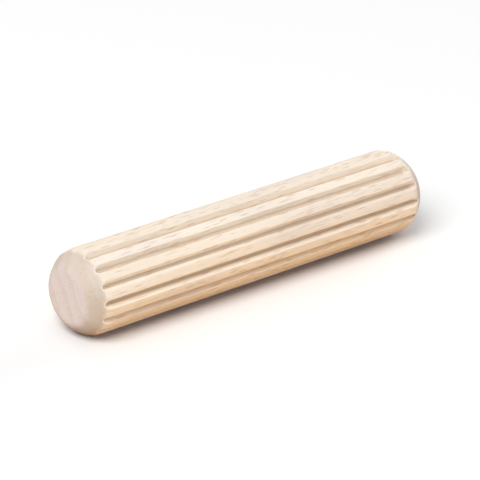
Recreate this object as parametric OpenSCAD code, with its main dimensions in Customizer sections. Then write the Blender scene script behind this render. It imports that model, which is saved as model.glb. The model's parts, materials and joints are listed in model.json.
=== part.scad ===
// Fluted wooden dowel pin: a turned rod with straight flutes and crowned chamfers.
// It lies along X with one flute straight down, so it rests on the two lands beside that flute.
// The origin is at the middle of its length, on the surface that it lies on.

/* [Rod] */
// Diameter over the lands between the flutes
pin_d = 8; // [6:0.5:12]
// Length over both end faces
pin_length = 40; // [25:1:80]

/* [Ends] */
// Depth of the chamfer, measured inwards from the lands
chamfer_depth = 1.4; // [0.5:0.1:1.8]
// Length of the chamfer, measured along the pin
chamfer_length = 1.7; // [0.8:0.1:2.2]

/* [Flutes] */
// Number of flutes around the pin
flute_count = 15; // [9:2:17]
// Width of a flute from land to land, over its rounded lips
flute_width = 0.68; // [0.5:0.02:0.9]
// Depth of a flute below the lands
flute_depth = 0.5; // [0.3:0.05:0.6]
// Radius at the bottom of a flute
flute_root_r = 0.12; // [0.08:0.01:0.14]
// Radius of the lip where a flute's wall turns into a land
flute_lip_r = 0.12; // [0.06:0.01:0.14]

/* [Hidden] */
$fn = 96;

pin_r = pin_d / 2;
flute_pitch = 360 / flute_count;

// The chamfer is part of a ball centred on the axis. The ball passes through the rim of the
// end face and through the shoulder, where the chamfer meets the lands.
end_face_r = pin_r - chamfer_depth;
crown_centre = (pow(chamfer_length, 2) + pow(pin_r, 2) - pow(end_face_r, 2)) / (2 * chamfer_length);
crown_r = norm([crown_centre, end_face_r]);

// A flute's section, drawn pointing along +X from the axis, is a root circle, a straight wall on
// each side and a lip circle inside each land's edge. The arcs meet the walls and lands at a
// slight angle, because surfaces that graze each other would leave slivers. A land is never
// narrower than a fifth of the way from flute to flute.
meeting_angle = 14;
mouth_width = min(flute_width, 0.8 * PI * pin_d / flute_count);
land_edge_angle = asin(mouth_width / pin_d);
land_edge = pin_r * [cos(land_edge_angle), sin(land_edge_angle)];
lip_aim = land_edge_angle - meeting_angle;
lip_centre = land_edge - flute_lip_r * [cos(lip_aim), sin(lip_aim)];
root_centre = [pin_r - flute_depth + flute_root_r, 0];

// Each wall passes this far from the root's centre and from the lip's centre.
wall_from_root = flute_root_r * cos(meeting_angle);
wall_from_lip = flute_lip_r * cos(meeting_angle);
root_to_lip = lip_centre - root_centre;
wall_normal_angle = atan2(root_to_lip.y, root_to_lip.x)
    + acos((wall_from_root + wall_from_lip) / norm(root_to_lip));
wall_normal = [cos(wall_normal_angle), sin(wall_normal_angle)];
wall_foot = root_centre + wall_from_root * wall_normal;
wall_top = lip_centre - wall_from_lip * wall_normal;

// The cutter goes on outwards past the rod's surface.
mouth = lip_centre * (pin_r + flute_depth) / norm(lip_centre);

// The pin lies on the edges of two lands, which are this far below its axis.
rest_height = land_edge.x;

function mirrored(p) = [p.x, -p.y];

module flute_section() {
    translate(root_centre) circle(r = flute_root_r);
    difference() {
        polygon([
            wall_foot, wall_top, lip_centre, mouth,
            mirrored(mouth), mirrored(lip_centre), mirrored(wall_top), mirrored(wall_foot),
        ]);
        translate(lip_centre) circle(r = flute_lip_r);
        translate(mirrored(lip_centre)) circle(r = flute_lip_r);
    }
}

// Cross-section of the rod. The first flute points along +X, which becomes straight down.
module rod_section() {
    difference() {
        circle(r = pin_r);
        for (i = [0 : flute_count - 1]) rotate(i * flute_pitch) flute_section();
    }
}

// Half of the lengthwise outline: radius along X, distance from the first end along Y. Between the
// two crown circles it is as wide as the rod, and each shoulder is where a circle crosses that width.
module turned_outline() {
    intersection() {
        square([pin_r, pin_length]);
        union() {
            translate([0, crown_centre]) circle(r = crown_r);
            translate([0, crown_centre]) square([pin_r, pin_length - 2 * crown_centre]);
            translate([0, pin_length - crown_centre]) circle(r = crown_r);
        }
    }
}

// The flutes run the whole length of the rod and run out on the chamfers.
module dowel_pin() {
    color("burlywood")
        translate([-pin_length / 2, 0, rest_height]) rotate([0, 90, 0])
            intersection() {
                linear_extrude(height = pin_length) rod_section();
                rotate_extrude() turned_outline();
            }
}

dowel_pin();
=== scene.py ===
"""Dresses a packed dowel pin: the fluted pin with the marks of its making, its bare wood and a plain
studio. Every length is in metres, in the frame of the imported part."""

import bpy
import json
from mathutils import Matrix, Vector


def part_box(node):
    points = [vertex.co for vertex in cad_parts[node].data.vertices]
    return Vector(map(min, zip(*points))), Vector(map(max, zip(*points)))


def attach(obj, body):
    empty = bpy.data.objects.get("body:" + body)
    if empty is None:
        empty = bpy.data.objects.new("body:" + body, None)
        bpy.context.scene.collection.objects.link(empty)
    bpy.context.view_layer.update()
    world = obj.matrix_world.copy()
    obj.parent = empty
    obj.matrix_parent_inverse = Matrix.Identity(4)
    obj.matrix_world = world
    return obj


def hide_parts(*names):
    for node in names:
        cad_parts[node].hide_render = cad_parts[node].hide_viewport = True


bl_info = {
    "name": "Fluted Dowel Pin",
    "version": (1, 0, 0),
    "blender": (4, 5, 0),
    "location": "3D View > Sidebar > Dowel Pin",
    "description": "Models a fluted wooden dowel pin, gives it a bare wood finish and sets a plain studio",
    "category": "Object",
}

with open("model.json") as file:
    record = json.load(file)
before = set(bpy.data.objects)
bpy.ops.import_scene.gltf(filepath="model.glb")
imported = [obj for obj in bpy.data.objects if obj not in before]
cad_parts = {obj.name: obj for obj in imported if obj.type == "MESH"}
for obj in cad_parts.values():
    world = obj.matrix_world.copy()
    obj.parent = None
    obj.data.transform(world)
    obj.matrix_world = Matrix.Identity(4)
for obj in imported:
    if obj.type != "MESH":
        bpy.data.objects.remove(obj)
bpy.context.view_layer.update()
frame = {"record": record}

import json
from math import acos, asin, atan2, cos, pi, radians, sin, sqrt

import bmesh
import bpy
from bpy.props import FloatProperty, FloatVectorProperty, IntProperty, PointerProperty
from mathutils import Matrix, Vector

MM = 0.001

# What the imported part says. The pin lies along X on the edges of two lands, with one flute straight down.
NODE = "dowel_pin"
LOW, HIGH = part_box(NODE)
SHANK = next(mount for mount in frame["record"]["mounts"] if mount["name"] == "shank")
HALF_LENGTH = (HIGH.x - LOW.x) / 2
PIN_RADIUS = SHANK["dims"]["r_mm"] * MM
AXIS_HEIGHT = SHANK["pos_m"][2]
SHOULDER = SHANK["dims"]["length_mm"] * MM / 2


def tone(red, green, blue):
    """A colour as it is seen, in steps of 255, as the linear values that a shader takes."""
    return tuple(((step / 255 + 0.055) / 1.055) ** 2.4 for step in (red, green, blue))


# ---------------------------------------------------------------------------------------------
# Sizes and colours


class PinSizes(bpy.types.PropertyGroup):
    flute_count: IntProperty(
        name="Flutes", description="Flutes around the pin", default=15, min=9, max=19)
    flute_width: FloatProperty(
        name="Flute width", description="Width of a flute from land to land",
        default=0.88 * MM, precision=5, unit="LENGTH")
    flute_depth: FloatProperty(
        name="Flute depth", description="Depth of a flute below the lands",
        default=0.58 * MM, precision=5, unit="LENGTH")
    root_radius: FloatProperty(
        name="Flute root", description="Radius at the bottom of a flute",
        default=0.12 * MM, precision=5, unit="LENGTH")
    lip_radius: FloatProperty(
        name="Flute lip", description="Radius where a flute's wall turns into a land",
        default=0.10 * MM, precision=5, unit="LENGTH")
    chamfer_depth: FloatProperty(
        name="Chamfer depth", description="Depth of the chamfer below the lands",
        default=1.4 * MM, precision=5, unit="LENGTH")
    softness: FloatProperty(
        name="Edge softness", description="How far the shoulder and the ends of the flutes are rounded",
        default=0.12 * MM, precision=5, unit="LENGTH")
    rim_radius: FloatProperty(
        name="Rim", description="Rounding between the chamfer and the end face",
        default=1.2 * MM, precision=5, unit="LENGTH")
    run_out: FloatProperty(
        name="Flute run-out", description="Length over which a flute rises to the surface at the shoulder",
        default=0.9 * MM, precision=5, unit="LENGTH")
    unevenness: FloatProperty(
        name="Unevenness", description="How unevenly the flutes are pressed",
        default=0.05 * MM, precision=6, unit="LENGTH")


class WoodFinish(bpy.types.PropertyGroup):
    pale: FloatVectorProperty(
        name="Pale wood", description="Colour of the early growth", subtype="COLOR",
        default=tone(252, 242, 228))
    deep: FloatVectorProperty(
        name="Deep wood", description="Colour of the late growth", subtype="COLOR",
        default=tone(247, 231, 210))
    end_grain: FloatVectorProperty(
        name="End grain", description="Colour of the sawn ends", subtype="COLOR",
        default=tone(219, 204, 199))
    # On the chamfers this is the colour of their lit upper side; the next colour is its darker copy,
    # painted as shade
    turned: FloatVectorProperty(
        name="Turned wood", description="Colour of the chamfers, kept on their side that faces the light, and of the shoulders",
        subtype="COLOR", default=tone(216, 202, 190))
    # Painted shade: a darker copy of the turned colour for the chamfers' side that faces away from the
    # light
    chamfer_painted_shade: FloatVectorProperty(
        name="Chamfer shade", description="Colour of the chamfers, darkened as painted shade on their side away from the light",
        subtype="COLOR", default=tone(200, 187, 174))
    pore: FloatVectorProperty(
        name="Pores", description="Colour inside the pores and rays", subtype="COLOR",
        default=tone(196, 158, 128))
    # Partly the colour of pressed fibres, partly painted shade that darkens the flute bottoms
    pressed_and_painted_shade: FloatVectorProperty(
        name="Pressed wood and shade", description="Colour of the fibres pressed down in the flute bottoms, darkened further as painted shade",
        subtype="COLOR", default=tone(212, 193, 172))


class StudioLook(bpy.types.PropertyGroup):
    azimuth: FloatProperty(
        name="Azimuth", description="Where the camera stands around the pin",
        default=radians(-41.7), subtype="ANGLE")
    elevation: FloatProperty(
        name="Elevation", description="How high the camera stands", default=radians(26.0),
        subtype="ANGLE")
    roll: FloatProperty(
        name="Roll", description="How far the camera leans", default=radians(3.0), subtype="ANGLE")
    distance: FloatProperty(
        name="Distance", description="From the camera to the middle of the pin",
        default=0.325, unit="LENGTH")
    lens: FloatProperty(
        name="Lens", description="Focal length", default=268.0, unit="CAMERA")


# ---------------------------------------------------------------------------------------------
# Modelling by hand

SAME_PLACE = 0.001 * MM
SAME_HEIGHT = 1e-9
MERGED = 0.0005 * MM

# Faces across a flute and a land, from the flute's bottom to the middle of the land
ROOT_STEPS = 3
WALL_STEPS = 3
LIP_STEPS = 3
LAND_STEPS = 5

# Faces along half the pin, from its middle to the end face
SHANK_STEPS = 50
RUN_OUT_STEPS = 12
CHAMFER_STEPS = 4
RIM_STEPS = 7

# The share of a flute's run-out that lies before the shoulder, and the rings on the end face
RUN_OUT_BEFORE = 0.3
FACE_RINGS = (0.95, 0.89, 0.82, 0.74, 0.66, 0.57, 0.47, 0.37, 0.27, 0.17, 0.08)

# Where the clouds of unevenness start, a little beside the pin's middle
CLOUD_START = (0.4 * MM, 0.7 * MM, 0.3 * MM)


def pick(piece, choose):
    """In edit mode, selects only the vertices whose place suits choose, and what lies between them."""
    mesh = bmesh.from_edit_mesh(piece.data)
    for vertex in mesh.verts:
        vertex.select = choose(vertex.co)
    mesh.select_flush_mode()
    bmesh.update_edit_mesh(piece.data)


def extrude(x=0.0, y=0.0, z=0.0):
    bpy.ops.mesh.extrude_region_move(TRANSFORM_OT_translate={"value": (x, y, z)})


def shrink(share, x):
    """Brings the selection towards the pin's axis, at the distance x along it."""
    bpy.ops.transform.resize(value=(1, share, share), center_override=(x, 0, AXIS_HEIGHT))


def height_of(place):
    """How far a place stands out from the pin's axis."""
    return sqrt(place.y ** 2 + (place.z - AXIS_HEIGHT) ** 2)


def soft_least(a, b, width):
    """The lesser of two heights, with the corner between them rounded over a width."""
    overlap = max(width - abs(a - b), 0) / width
    return min(a, b) - overlap * overlap * width / 4


def ease(value, start, end):
    """Goes gently from 0 to 1 as the value goes from start to end."""
    share = min(max((value - start) / (end - start), 0), 1)
    return share * share * (3 - 2 * share)


class Crown:
    """The ball that the chamfer is part of. It passes through the edge of the end face and through the
    shoulder, and it rolls over into the end face on a small radius."""

    def __init__(self, sizes):
        length = HALF_LENGTH - SHOULDER
        edge = PIN_RADIUS - sizes.chamfer_depth
        depth = (length ** 2 + PIN_RADIUS ** 2 - edge ** 2) / (2 * length)
        self.centre = HALF_LENGTH - depth
        self.radius = sqrt(depth ** 2 + edge ** 2)
        self.rim_radius = sizes.rim_radius
        self.rim_centre = HALF_LENGTH - sizes.rim_radius
        inner = self.rim_centre - self.centre
        self.face_radius = sqrt((self.radius - sizes.rim_radius) ** 2 - inner ** 2)
        self.rim_angle = atan2(self.face_radius, inner)
        self.rim_start = self.rim_centre + sizes.rim_radius * cos(self.rim_angle)

    def height(self, x):
        if x > self.rim_start:
            across = max(self.rim_radius ** 2 - (x - self.rim_centre) ** 2, 0)
            return self.face_radius + sqrt(across)
        return sqrt(self.radius ** 2 - (x - self.centre) ** 2)

    def rim_station(self, share):
        """Where the rim is, once it has rolled over by a share of its turn."""
        return self.rim_centre + self.rim_radius * cos(self.rim_angle * (1 - share))


def draw_half_flute(sizes):
    """Draws half the outline of one flute and one land across the pin's middle, from the flute's
    bottom, which points straight down, towards +Y and the middle of the land."""

    def down(out, side):
        return Vector((0, side, AXIS_HEIGHT - out))

    root, lip = sizes.root_radius, sizes.lip_radius
    edge = asin(sizes.flute_width / 2 / PIN_RADIUS)
    root_centre = Vector((PIN_RADIUS - sizes.flute_depth + root, 0))
    lip_centre = (PIN_RADIUS - lip) * Vector((cos(edge), sin(edge)))
    apart = lip_centre - root_centre
    facing = atan2(apart.y, apart.x) + acos((root + lip) / apart.length)
    wall = sqrt(apart.length ** 2 - (root + lip) ** 2) / WALL_STEPS * Vector((sin(facing), -cos(facing)))

    # Here spin turns the other way round than the right-hand rule
    bpy.ops.transform.translate(value=down(root_centre.x - root, 0))
    bpy.ops.mesh.spin(
        steps=ROOT_STEPS, angle=pi - facing, center=down(*root_centre), axis=(1, 0, 0))
    for _ in range(WALL_STEPS):
        extrude(y=wall.y, z=-wall.x)
    bpy.ops.mesh.spin(
        steps=LIP_STEPS, angle=facing - pi - edge, center=down(*lip_centre), axis=(1, 0, 0))
    bpy.ops.mesh.spin(
        steps=LAND_STEPS, angle=edge - pi / sizes.flute_count, center=down(0, 0), axis=(1, 0, 0))


def spread(start, end, steps):
    """Even steps from the start, which is left out, to the end."""
    return [start + (end - start) * step / steps for step in range(1, steps + 1)]


def turn_end(piece, crown, sizes):
    """Draws the outline out along the pin. Near the shoulder the flutes rise to the surface, and
    what would stand proud of the crown is turned down."""
    rise_start = SHOULDER - sizes.run_out * RUN_OUT_BEFORE
    rise_end = rise_start + sizes.run_out
    outline = [vertex.co.copy() for vertex in bmesh.from_edit_mesh(piece.data).verts]
    full = [height_of(place) for place in outline]
    now = list(full)
    before = 0
    stations = (spread(0, rise_start, SHANK_STEPS) + spread(rise_start, rise_end, RUN_OUT_STEPS)
                + spread(rise_end, crown.rim_start, CHAMFER_STEPS)
                + [crown.rim_station(share) for share in spread(0, 1, RIM_STEPS)])
    for x in stations:
        extrude(x=x - before)
        before = x
        if x <= rise_start:
            continue
        rise = ease(x, rise_start, rise_end)
        for index, place in enumerate(outline):
            raised = PIN_RADIUS - (PIN_RADIUS - full[index]) * (1 - rise)
            wanted = soft_least(raised, crown.height(x), sizes.softness)
            if abs(wanted - now[index]) < SAME_HEIGHT:
                continue
            share = now[index] / full[index]
            there = Vector((x, place.y * share, AXIS_HEIGHT + (place.z - AXIS_HEIGHT) * share))
            pick(piece, lambda other: (other - there).length < SAME_PLACE)
            shrink(wanted / now[index], x)
            now[index] = wanted
        pick(piece, lambda place: place.x > x - SAME_PLACE)


def close_end(crown):
    """Fills the end face with rings that close in on the axis."""
    before = 1
    for share in FACE_RINGS:
        extrude()
        shrink(share / before, HALF_LENGTH)
        before = share
    extrude()
    shrink(0, HALF_LENGTH)


def apply_modifier(piece, kind, **settings):
    modifier = piece.modifiers.new(kind.title(), kind)
    for name, value in settings.items():
        setattr(modifier, name, value)
    bpy.ops.object.modifier_apply(modifier=modifier.name)


def start_piece(name):
    """A new object in edit mode, with one vertex in the middle of the frame."""
    bpy.ops.object.select_all(action="DESELECT")
    bpy.ops.mesh.primitive_plane_add(size=MM, location=(0, 0, 0))
    piece = bpy.context.object
    piece.name = piece.data.name = name
    bpy.ops.object.mode_set(mode="EDIT")
    bpy.ops.mesh.select_mode(type="VERT")
    bpy.ops.mesh.merge(type="CENTER")
    bpy.ops.mesh.remove_doubles(threshold=MM)
    return piece


def model_blank(sizes):
    """The whole fluted pin with clean edges."""
    crown = Crown(sizes)
    pin = start_piece("fluted_pin")
    draw_half_flute(sizes)
    pick(pin, lambda place: True)
    turn_end(pin, crown, sizes)
    close_end(crown)
    bpy.ops.object.mode_set(mode="OBJECT")
    apply_modifier(pin, "MIRROR", use_axis=(True, True, False), merge_threshold=MERGED)
    bpy.ops.object.mode_set(mode="EDIT")
    pitch = 2 * pi / sizes.flute_count
    bpy.ops.mesh.select_all(action="SELECT")
    bpy.ops.mesh.spin(
        steps=sizes.flute_count - 1, angle=2 * pi - pitch, dupli=True,
        center=(0, 0, AXIS_HEIGHT), axis=(1, 0, 0))
    bpy.ops.mesh.select_all(action="SELECT")
    bpy.ops.mesh.remove_doubles(threshold=MERGED)
    bpy.ops.mesh.normals_make_consistent(inside=False)
    bpy.ops.object.mode_set(mode="OBJECT")
    return pin


def group_of(piece, name, weight_of):
    """Makes a vertex group that says how strongly each place is worn, and gives its name."""
    group = piece.vertex_groups.new(name=name)
    for vertex in piece.data.vertices:
        weight = weight_of(vertex.co)
        if weight > 0:
            group.add([vertex.index], weight, "REPLACE")
    return group.name


def wear(piece, name, depth, grain, group="", contrast=1.0, brightness=1.0):
    """Presses a cloudy unevenness into the surface. It only ever goes inwards. Grain is how long the
    clouds are along the pin and how wide they are across it."""
    length, width = grain
    bpy.ops.object.empty_add(location=CLOUD_START)
    ruler = bpy.context.object
    ruler.scale = (length, width, width)
    clouds = bpy.data.textures.new(name, "CLOUDS")
    clouds.noise_scale = 1.0
    clouds.noise_depth = 2
    clouds.contrast = contrast
    clouds.intensity = brightness
    bpy.context.view_layer.objects.active = piece
    apply_modifier(piece, "DISPLACE", texture=clouds, texture_coords="OBJECT",
                   texture_coords_object=ruler, strength=depth, mid_level=1.0, vertex_group=group)
    bpy.data.objects.remove(ruler)
    bpy.data.textures.remove(clouds)


def work_over(pin, sizes):
    """The marks of its making: flutes pressed unevenly, land edges a little torn, ends cut roughly."""

    def below_lands(place):
        return PIN_RADIUS - height_of(place)

    def before_shoulder(place):
        return SHOULDER - abs(place.x)

    def in_flute(place):
        return (ease(below_lands(place), 0.02 * MM, 0.30 * MM)
                * ease(before_shoulder(place), 0, 0.6 * MM))

    def on_edge(place):
        return (ease(height_of(place), PIN_RADIUS - 0.20 * MM, PIN_RADIUS - 0.04 * MM)
                * ease(below_lands(place), -0.001 * MM, 0.03 * MM)
                * ease(before_shoulder(place), -0.3 * MM, 0.2 * MM))

    def on_end(place):
        return ease(abs(place.x), SHOULDER, SHOULDER + 0.9 * MM)

    flutes = group_of(pin, "flutes", in_flute)
    edges = group_of(pin, "edges", on_edge)
    ends = group_of(pin, "ends", on_end)
    wear(pin, "uneven_shank", 0.035 * MM, grain=(9 * MM, 2.4 * MM))
    wear(pin, "uneven_flutes", sizes.unevenness, grain=(3.2 * MM, 0.7 * MM), group=flutes)
    wear(pin, "torn_edges", sizes.unevenness, grain=(1.6 * MM, 0.30 * MM), group=edges,
         contrast=2.5, brightness=0.9)
    wear(pin, "rough_ends", 0.5 * sizes.unevenness, grain=(0.6 * MM, 0.30 * MM), group=ends)
    pin.vertex_groups.clear()


class DOWEL_OT_model_pin(bpy.types.Operator):
    """Model the fluted pin, from half a flute to the whole rod, and leave the marks of its making on it"""

    bl_idname = "dowel.model_pin"
    bl_label = "Model the pin"

    def execute(self, context):
        sizes = context.scene.pin_sizes
        pin = model_blank(sizes)
        work_over(pin, sizes)
        bpy.ops.object.select_all(action="DESELECT")
        pin.select_set(True)
        bpy.ops.object.shade_smooth()
        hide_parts(NODE)
        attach(pin, "root")
        return {"FINISHED"}


# ---------------------------------------------------------------------------------------------
# The bare wood


class NodeBench:
    """Puts nodes into one tree. A value that a node reads is a plain value or another node's socket."""

    def __init__(self, tree):
        self.tree = tree

    def node(self, kind, reads=None, **settings):
        node = self.tree.nodes.new(kind)
        for name, value in settings.items():
            setattr(node, name, value)
        for name, value in (reads or {}).items():
            self.feed(node.inputs[name], value)
        return node

    def feed(self, socket, value):
        if isinstance(value, bpy.types.NodeSocket):
            self.tree.links.new(value, socket)
        elif socket.type == "RGBA":
            socket.default_value = (*value, 1)
        else:
            socket.default_value = value

    def math(self, operation, *values):
        return self.node("ShaderNodeMath", dict(enumerate(values)), operation=operation).outputs[0]

    def times(self, *factors):
        result = factors[0]
        for factor in factors[1:]:
            result = self.math("MULTIPLY", result, factor)
        return result

    def plus(self, *terms):
        result = terms[0]
        for term in terms[1:]:
            result = self.math("ADD", result, term)
        return result

    def weighed(self, *pairs):
        """Adds values up, each with its own weight."""
        return self.plus(*[self.times(value, weight) for value, weight in pairs])

    def step(self, value, start, end):
        """A soft step from 0 to 1 as the value goes from start to end, which may be the lower one."""
        low, high, to_low, to_high = (start, end, 0, 1) if start < end else (end, start, 1, 0)
        reads = {"Value": value, "From Min": low, "From Max": high, "To Min": to_low, "To Max": to_high}
        return self.node("ShaderNodeMapRange", reads, interpolation_type="SMOOTHSTEP").outputs[0]

    def blend(self, share, first, second):
        """Mixes two colours. The Mix node's sockets share their names, so they go by their order."""
        node = self.node("ShaderNodeMix", data_type="RGBA")
        for index, value in ((0, share), (6, first), (7, second)):
            self.feed(node.inputs[index], value)
        return node.outputs[2]

    def tint(self, colour, other, mask, strength):
        """Turns a colour towards another one where the mask is, as far as the strength says."""
        return self.blend(self.times(mask, strength), colour, other)

    def vector_math(self, operation, first, second):
        node = self.node("ShaderNodeVectorMath", {0: first, 1: second}, operation=operation)
        return node.outputs["Value" if operation == "DOT_PRODUCT" else "Vector"]

    def axes(self, vector):
        return self.node("ShaderNodeSeparateXYZ", {0: vector}).outputs

    def joined(self, *parts):
        return self.node("ShaderNodeCombineXYZ", dict(enumerate(parts))).outputs[0]

    def distance(self, first, second):
        """How far a place is from an axis, by how far it is from it in two directions."""
        squares = self.plus(self.times(first, first), self.times(second, second))
        return self.math("SQRT", squares)

    def mapped(self, vector, **places):
        return self.node("ShaderNodeMapping", {"Vector": vector, **places}).outputs[0]

    def stretched(self, vector, along, across):
        """The measure for a pattern that repeats so often per millimetre along the pin and across it."""
        return self.mapped(vector, Scale=(along, across, across))

    def noise(self, vector, detail=2.0, roughness=0.5, output="Fac"):
        reads = {"Vector": vector, "Scale": 1.0, "Detail": detail, "Roughness": roughness}
        return self.node("ShaderNodeTexNoise", reads).outputs[output]

    def cells(self, vector):
        """How far each place is from the middle of its cell."""
        return self.node("ShaderNodeTexVoronoi", {"Vector": vector, "Scale": 1.0}).outputs["Distance"]


# The block that the pin was cut from, in millimetres: where the pin lay in it, seen from the pith,
# how it leant, how far the fibres waver, how wide the growth rings are and how close the rays
FROM_PITH = (3.1, -24.0, 15.0)
LEAN = (0, radians(0.9), radians(-1.3))
WAVER = (0.0, 1.1, 1.1)
RING_WIDTH = 1.55
RAYS_PER_RADIAN = 150.0

# The direction of the painted light on the chamfers, up and towards the back: chamfers that face away from
# it are painted darker as shade. Then the angle at which the saw went through
PAINTED_LIGHT_FROM = (0.0, 0.546, 0.838)
SAW_ANGLE = radians(34)

# How deep below the lands, in millimetres, the flutes' darker colour starts and is fully there: partly
# pressed wood, partly painted shade in the flute bottoms
PRESSED_SHADE_FROM = 0.34
PRESSED_SHADE_TO = 0.56


def make_wood(look):
    """Pale bare hardwood as one solid block: rings round a pith that lies beside the pin, fibres and
    vessels along it, and rays that point to the pith. Lengths inside the material are millimetres."""
    material = bpy.data.materials.new("bare_beech")
    material.use_nodes = True
    bench = NodeBench(material.node_tree)
    shader = material.node_tree.nodes["Principled BSDF"]

    # The pin's own axes and normals, so that the wood turns with it
    places = bench.node("ShaderNodeTexCoord").outputs
    own = bench.mapped(places["Object"], Scale=(1 / MM, 1 / MM, 1 / MM),
                       Location=(0, 0, -AXIS_HEIGHT / MM))
    _, across_y, across_z = bench.axes(own)
    height = bench.distance(across_y, across_z)
    facing = bench.math("ABSOLUTE", bench.axes(places["Normal"])[0])
    # How far a surface faces up and back, towards the painted light; it decides where the chamfers get
    # painted shade
    toward_painted_light = bench.vector_math("DOT_PRODUCT", places["Normal"], PAINTED_LIGHT_FROM)

    # The fibres run a little askew and waver
    askew = bench.mapped(own, Rotation=LEAN, Location=FROM_PITH)
    waver = bench.noise(bench.stretched(askew, 0.045, 0.22), output="Color")
    waver = bench.vector_math("SUBTRACT", waver, (0.5, 0.5, 0.5))
    waver = bench.vector_math("MULTIPLY", waver, WAVER)
    block = bench.vector_math("ADD", askew, waver)
    along, side, out = bench.axes(block)
    pith_distance = bench.distance(side, out)
    pith_angle = bench.math("ARCTAN2", side, out)

    # Growth rings, each darker towards its end
    uneven = bench.noise(bench.joined(bench.times(pith_distance, 0.45)), detail=1.0)
    ring = bench.math("FRACT", bench.weighed((pith_distance, 1 / RING_WIDTH), (uneven, 1.7)))
    late = bench.times(bench.step(ring, 0.25, 0.94), bench.step(ring, 1.0, 0.965))

    # Fibres, vessels and rays
    fine = bench.noise(bench.stretched(block, 0.10, 7.5), detail=3.0, roughness=0.6)
    broad = bench.noise(bench.stretched(block, 0.035, 1.5), detail=3.0, roughness=0.55)
    vessel = bench.step(bench.cells(bench.stretched(block, 0.30, 5.2)), 0.30, 0.16)
    sheet = bench.joined(bench.times(along, 0.50), bench.times(pith_angle, RAYS_PER_RADIAN),
                         bench.times(pith_distance, 0.25))
    ray = bench.times(bench.step(bench.cells(sheet), 0.36, 0.16), bench.step(fine, 0.38, 0.58))
    mottle = bench.noise(bench.stretched(block, 0.09, 0.35), detail=3.0)

    # Where the wood was worked, and where shade is painted: on the chamfers' side away from the light and
    # in the flute bottoms
    patchy = bench.noise(bench.stretched(own, 0.55, 0.55))
    end = bench.step(bench.plus(facing, bench.times(patchy, 0.16)), 0.46, 0.66)
    sawn = bench.step(bench.plus(facing, bench.times(patchy, 0.45)), 0.93, 1.25)
    shoulder = bench.step(facing, 0.05, 0.42)
    # Painted shade on the chamfers' side that faces away from the light
    painted_shade_side = bench.step(toward_painted_light, 0.30, -0.35)
    land = PIN_RADIUS / MM
    # The flute bottoms, where the darker colour goes on as pressed fibres and as painted shade
    flute = bench.times(bench.step(height, land - PRESSED_SHADE_FROM, land - PRESSED_SHADE_TO),
                        bench.step(facing, 0.45, 0.20))

    # The colour along the pin
    colour = bench.blend(bench.weighed((late, 0.45), (bench.step(broad, 0.35, 0.72), 0.45)),
                         look.pale, look.deep)
    colour = bench.tint(colour, look.deep, bench.step(fine, 0.46, 0.70), strength=0.42)
    colour = bench.tint(colour, look.end_grain, bench.step(mottle, 0.40, 0.75), strength=0.35)
    # Painted shade in the flute bottoms, laid on together with the colour of the pressed fibres
    colour = bench.tint(colour, look.pressed_and_painted_shade, flute, strength=0.76)
    colour = bench.tint(colour, look.pore, vessel, strength=0.25)
    colour = bench.tint(colour, look.pore, ray, strength=0.50)
    colour = bench.tint(colour, look.turned, shoulder, strength=0.40)

    # The colour across it, on the chamfers and the sawn ends; the chamfers' side away from the light gets a
    # darker copy as painted shade
    across = bench.blend(painted_shade_side, look.turned, look.chamfer_painted_shade)
    across = bench.blend(sawn, across, look.end_grain)
    across = bench.blend(bench.weighed((late, 0.17), (vessel, 0.34), (ray, 0.20)), across, look.pore)
    colour = bench.tint(colour, across, end, strength=0.95)

    # The feel of it: fibres stand up, vessels and rays lie open, and the saw left its marks
    saw = bench.mapped(own, Rotation=(SAW_ANGLE, 0, 0), Scale=(0.0, 0.22, 3.4))
    marks = bench.times(bench.noise(saw, detail=3.0), bench.step(facing, 0.85, 0.98))
    relief = bench.weighed((fine, 0.8), (vessel, -0.7), (ray, -0.25), (marks, 1.6))
    reads = {"Strength": 0.6, "Distance": 0.02 * MM, "Height": relief}
    bump = bench.node("ShaderNodeBump", reads).outputs[0]
    rough = bench.plus(0.56, bench.times(fine, 0.14), bench.times(end, 0.12))
    for name, value in (("Base Color", colour), ("Roughness", rough), ("Normal", bump),
                        ("Specular IOR Level", 0.35)):
        bench.feed(shader.inputs[name], value)
    return material


class DOWEL_OT_finish_wood(bpy.types.Operator):
    """Give the pin its bare wood"""

    bl_idname = "dowel.finish_wood"
    bl_label = "Finish the wood"

    def execute(self, context):
        pin = bpy.data.objects["fluted_pin"]
        pin.data.materials.clear()
        pin.data.materials.append(make_wood(context.scene.wood_finish))
        return {"FINISHED"}


# ---------------------------------------------------------------------------------------------
# The studio

FLOOR_SIZE = 6.0
WHITE = (1.0, 1.0, 1.0)

# The colours of the light that the floor throws back on the pin
UNDER_PIN = (0.28, 0.10, 0.02)
BESIDE_PIN = (0.98, 0.68, 0.38)
PAST_ENDS = (1.0, 0.95, 0.88)
FURTHER_OUT = (0.72, 0.68, 0.63)

ROOM_LIGHT = 0.43
LAMP_DISTANCE = 0.8
SENSOR_WIDTH = 36.0
NEAREST_SEEN = 0.01


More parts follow.
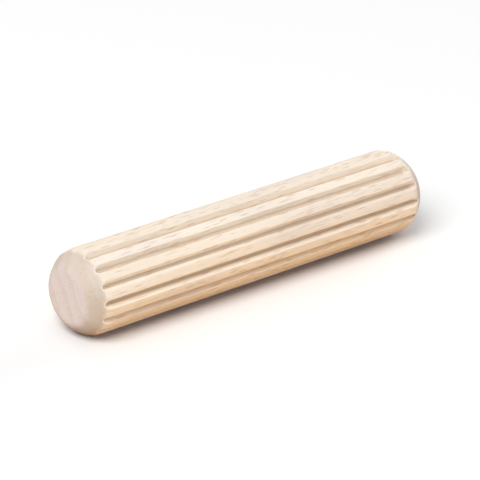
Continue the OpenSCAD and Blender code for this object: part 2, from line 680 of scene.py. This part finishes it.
def lay_floor():
    """A floor that looks white to the camera. It lights the wood like a wooden bench: dark close under
    the pin, warm beside it, pale past its ends and duller further out."""
    bpy.ops.object.select_all(action="DESELECT")
    bpy.ops.mesh.primitive_plane_add(size=FLOOR_SIZE, location=(0, 0, 0))
    floor = bpy.context.object
    floor.name = floor.data.name = "studio_floor"
    material = bpy.data.materials.new("studio_floor")
    material.use_nodes = True
    bench = NodeBench(material.node_tree)
    seen = bench.node("ShaderNodeLightPath").outputs["Is Camera Ray"]
    axes = bench.axes(bench.node("ShaderNodeTexCoord").outputs["Object"])
    along = bench.math("ABSOLUTE", axes[0])
    aside = bench.math("ABSOLUTE", axes[1])
    glow = bench.blend(bench.step(aside, 2.7 * MM, 4.9 * MM), UNDER_PIN, BESIDE_PIN)
    glow = bench.blend(bench.step(along, 18 * MM, 23 * MM), glow, PAST_ENDS)
    glow = bench.blend(bench.step(along, 26 * MM, 36 * MM), glow, FURTHER_OUT)
    paper = bench.node("ShaderNodeBsdfDiffuse", {"Color": bench.blend(seen, glow, WHITE)})
    bench.tree.links.new(paper.outputs[0], bench.tree.nodes["Material Output"].inputs["Surface"])
    bench.tree.nodes.remove(bench.tree.nodes["Principled BSDF"])
    floor.data.materials.append(material)


def towards(azimuth, elevation):
    """The direction in which something stands, seen from the pin."""
    flat = cos(elevation)
    return Vector((sin(azimuth) * flat, -cos(azimuth) * flat, sin(elevation)))


def hang_lamp(name, azimuth, elevation, size, watts):
    """A round soft lamp that faces the pin."""
    lamp = bpy.data.lights.new(name, "AREA")
    lamp.shape = "DISK"
    lamp.size = size
    lamp.energy = watts
    holder = bpy.data.objects.new(name, lamp)
    bpy.context.scene.collection.objects.link(holder)
    direction = towards(azimuth, elevation)
    holder.location = LAMP_DISTANCE * direction
    holder.rotation_euler = direction.to_track_quat("Z", "Y").to_euler()


def light_studio():
    """An even pale room, which looks white to the camera, with one soft lamp high above the near end
    and a weaker one low beyond the far end."""
    world = bpy.data.worlds.new("studio_room")
    bpy.context.scene.world = world
    world.use_nodes = True
    bench = NodeBench(world.node_tree)
    seen = bench.node("ShaderNodeLightPath").outputs["Is Camera Ray"]
    strength = bench.plus(ROOM_LIGHT, bench.times(seen, 1 - ROOM_LIGHT))
    background = world.node_tree.nodes["Background"]
    bench.feed(background.inputs["Color"], WHITE)
    bench.feed(background.inputs["Strength"], strength)
    hang_lamp("soft_lamp", azimuth=radians(-67), elevation=radians(50), size=0.52, watts=4.7)
    hang_lamp("fill_lamp", azimuth=radians(98), elevation=radians(12), size=0.60, watts=2.9)


def place_camera(look):
    """Looks at the middle of the pin, past the near end, with the head a little to one side."""
    middle = Vector((0, 0, AXIS_HEIGHT))
    direction = towards(look.azimuth, look.elevation)
    camera = bpy.data.objects.new("studio_camera", bpy.data.cameras.new("studio_camera"))
    bpy.context.scene.collection.objects.link(camera)
    camera.data.lens = look.lens
    camera.data.sensor_width = SENSOR_WIDTH
    camera.data.clip_start = NEAREST_SEEN
    lean = Matrix.Rotation(look.roll, 4, "Z")
    camera.matrix_world = (Matrix.Translation(middle + look.distance * direction)
                           @ direction.to_track_quat("Z", "Y").to_matrix().to_4x4() @ lean)
    bpy.context.scene.camera = camera


class DOWEL_OT_set_studio(bpy.types.Operator):
    """Lay the floor, hang the light and place the camera"""

    bl_idname = "dowel.set_studio"
    bl_label = "Set the studio"

    def execute(self, context):
        lay_floor()
        light_studio()
        place_camera(context.scene.studio_look)
        context.scene.view_settings.view_transform = "Standard"
        return {"FINISHED"}


# ---------------------------------------------------------------------------------------------
# The add-on


class DOWEL_PT_bench(bpy.types.Panel):
    bl_idname = "DOWEL_PT_bench"
    bl_label = "Dowel pin"
    bl_space_type = "VIEW_3D"
    bl_region_type = "UI"
    bl_category = "Dowel Pin"

    def draw(self, context):
        layout = self.layout
        for title, group, operator in (
                ("Shape", context.scene.pin_sizes, DOWEL_OT_model_pin),
                ("Wood", context.scene.wood_finish, DOWEL_OT_finish_wood),
                ("Studio", context.scene.studio_look, DOWEL_OT_set_studio)):
            box = layout.box()
            box.label(text=title)
            for name in group.__annotations__:
                box.prop(group, name)
            box.operator(operator.bl_idname)


CLASSES = (PinSizes, WoodFinish, StudioLook, DOWEL_OT_model_pin, DOWEL_OT_finish_wood,
           DOWEL_OT_set_studio, DOWEL_PT_bench)


def register():
    for cls in CLASSES:
        bpy.utils.register_class(cls)
    bpy.types.Scene.pin_sizes = PointerProperty(type=PinSizes)
    bpy.types.Scene.wood_finish = PointerProperty(type=WoodFinish)
    bpy.types.Scene.studio_look = PointerProperty(type=StudioLook)


def unregister():
    del bpy.types.Scene.studio_look
    del bpy.types.Scene.wood_finish
    del bpy.types.Scene.pin_sizes
    for cls in reversed(CLASSES):
        bpy.utils.unregister_class(cls)


def main():
    register()
    bpy.ops.dowel.model_pin()
    bpy.ops.dowel.finish_wood()
    bpy.ops.dowel.set_studio()


if __name__ == "__main__":
    main()
